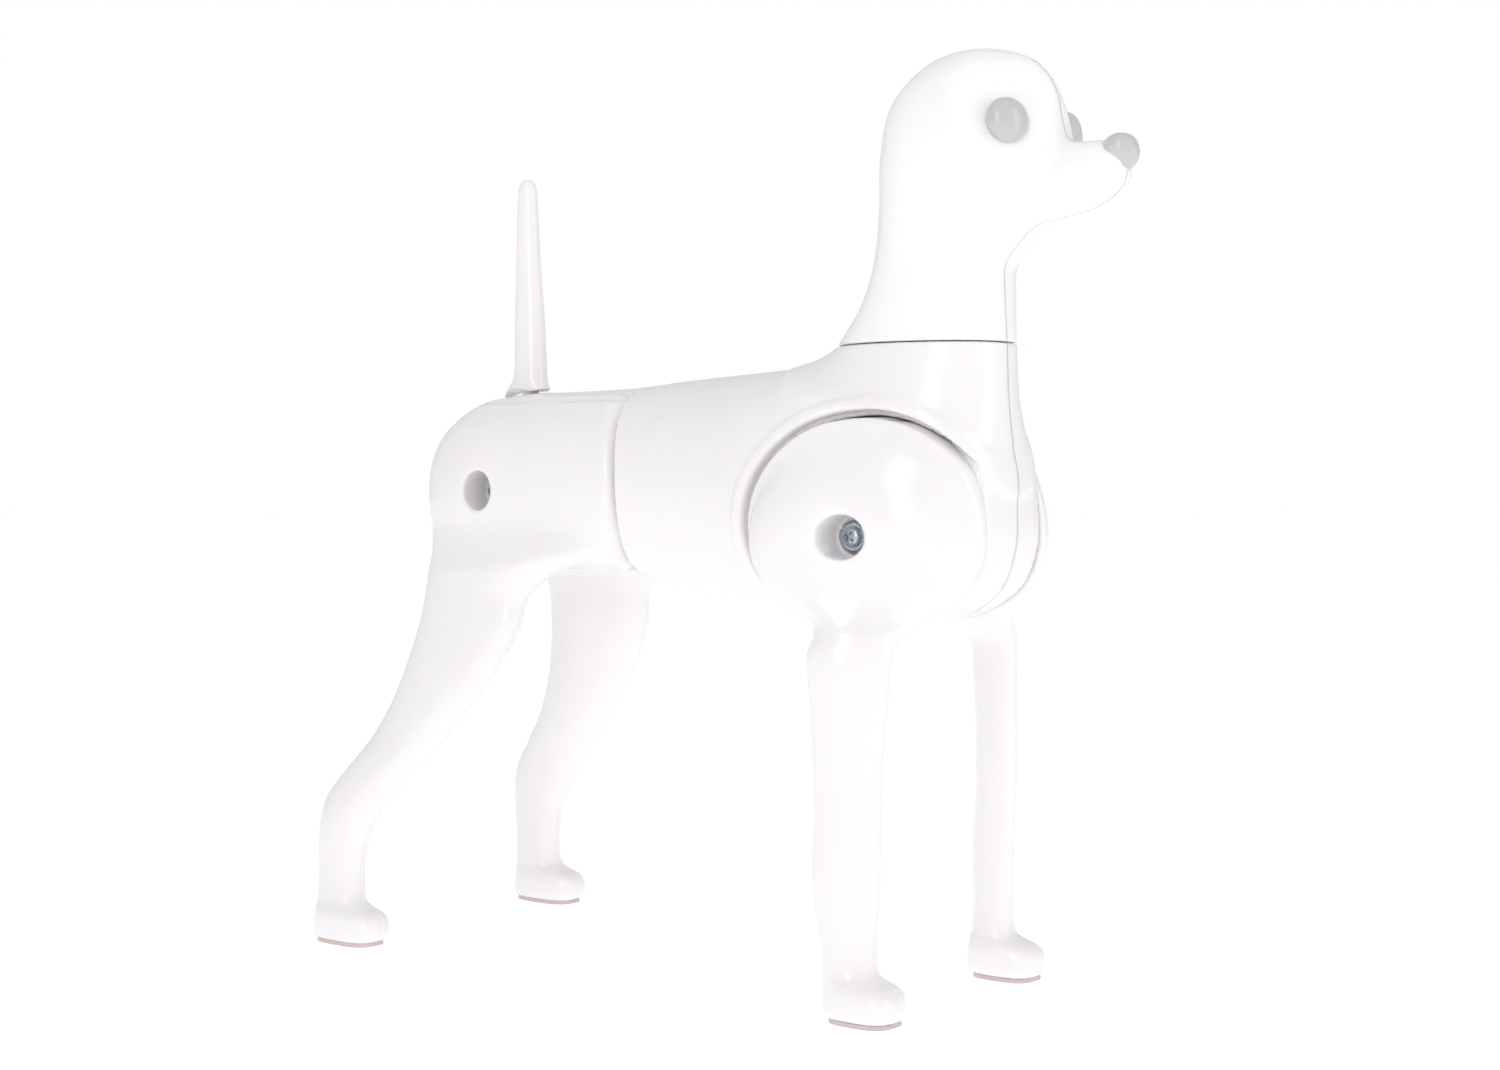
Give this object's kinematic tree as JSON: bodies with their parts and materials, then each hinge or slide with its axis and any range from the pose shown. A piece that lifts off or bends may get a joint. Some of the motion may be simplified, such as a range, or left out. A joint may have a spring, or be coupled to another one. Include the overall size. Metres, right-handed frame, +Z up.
{
  "type": "articulated model dog",
  "caption": "Posable white plastic model dog: hollow half shells, screwed leg pivots, turning head and tail, domed eyes and a button nose.",
  "frame": {"origin": "centre of the bounding box on the plane the soles stand on", "axes": "+X towards the nose, +Y towards the dog's left, +Z up"},
  "size_m": [0.4382, 0.1772, 0.435],
  "materials": {
    "body_plastic": "glossy moulded plastic, cool white",
    "head_plastic": "glossy moulded plastic, bright white",
    "eye_plastic": "polished grey buttons",
    "inner_plastic": "natural moulded plastic",
    "zinc_steel": "bright zinc plate",
    "spring_steel": "dark spring steel",
    "brass": "knurled insert",
    "sole_rubber": "soft matt rubber",
    "ring_rubber": "black rubber"
  },
  "bodies": {
    "torso": {"torso_left_shell": "body_plastic", "torso_right_shell": "body_plastic", "neck_collar": "inner_plastic", "shoulder_tube": "zinc_steel", "hip_tube": "zinc_steel", "thread_inserts": "brass", "shoulder_screws": "zinc_steel", "hip_screws": "zinc_steel", "flat_washers": "zinc_steel", "spring_washers": "spring_steel", "tail_socket": "inner_plastic"},
    "head": {"head_left_shell": "head_plastic", "head_right_shell": "head_plastic", "neck_plug": "inner_plastic", "neck_friction_ring": "ring_rubber", "neck_clip": "zinc_steel", "left_eye": "eye_plastic", "right_eye": "eye_plastic", "nose": "eye_plastic", "face_push_nuts": "zinc_steel"},
    "front_left_leg": {"front_left_outer_shell": "body_plastic", "front_left_inner_shell": "body_plastic", "front_left_bush": "zinc_steel", "front_left_sole": "sole_rubber"},
    "front_right_leg": {"front_right_outer_shell": "body_plastic", "front_right_inner_shell": "body_plastic", "front_right_bush": "zinc_steel", "front_right_sole": "sole_rubber"},
    "hind_left_leg": {"hind_left_outer_shell": "body_plastic", "hind_left_inner_shell": "body_plastic", "hind_left_bush": "zinc_steel", "hind_left_sole": "sole_rubber"},
    "hind_right_leg": {"hind_right_outer_shell": "body_plastic", "hind_right_inner_shell": "body_plastic", "hind_right_bush": "zinc_steel", "hind_right_sole": "sole_rubber"},
    "tail": {"tail": "body_plastic", "tail_stud": "inner_plastic", "tail_clip": "zinc_steel"}
  },
  "joints": [
    {"name": "head_turn", "type": "hinge", "parent": "torso", "child": "head", "pos_m": [0.11, 0, 0.3025], "axis": [0, 0, 1], "range_deg": [-60, 60]},
    {"name": "front_left_swing", "type": "hinge", "parent": "torso", "child": "front_left_leg", "pos_m": [0.105, 0.04, 0.215], "axis": [0, 1, 0], "range_deg": [-40, 40]},
    {"name": "front_right_swing", "type": "hinge", "parent": "torso", "child": "front_right_leg", "pos_m": [0.105, -0.04, 0.215], "axis": [0, 1, 0], "range_deg": [-40, 40]},
    {"name": "hind_left_swing", "type": "hinge", "parent": "torso", "child": "hind_left_leg", "pos_m": [-0.13, 0.035, 0.235], "axis": [0, 1, 0], "range_deg": [-25, 25]},
    {"name": "hind_right_swing", "type": "hinge", "parent": "torso", "child": "hind_right_leg", "pos_m": [-0.13, -0.035, 0.235], "axis": [0, 1, 0], "range_deg": [-25, 25]},
    {"name": "tail_turn", "type": "hinge", "parent": "torso", "child": "tail", "pos_m": [-0.14, 0, 0.285], "axis": [0, 0, 1], "range_deg": [-90, 90]}
  ]
}
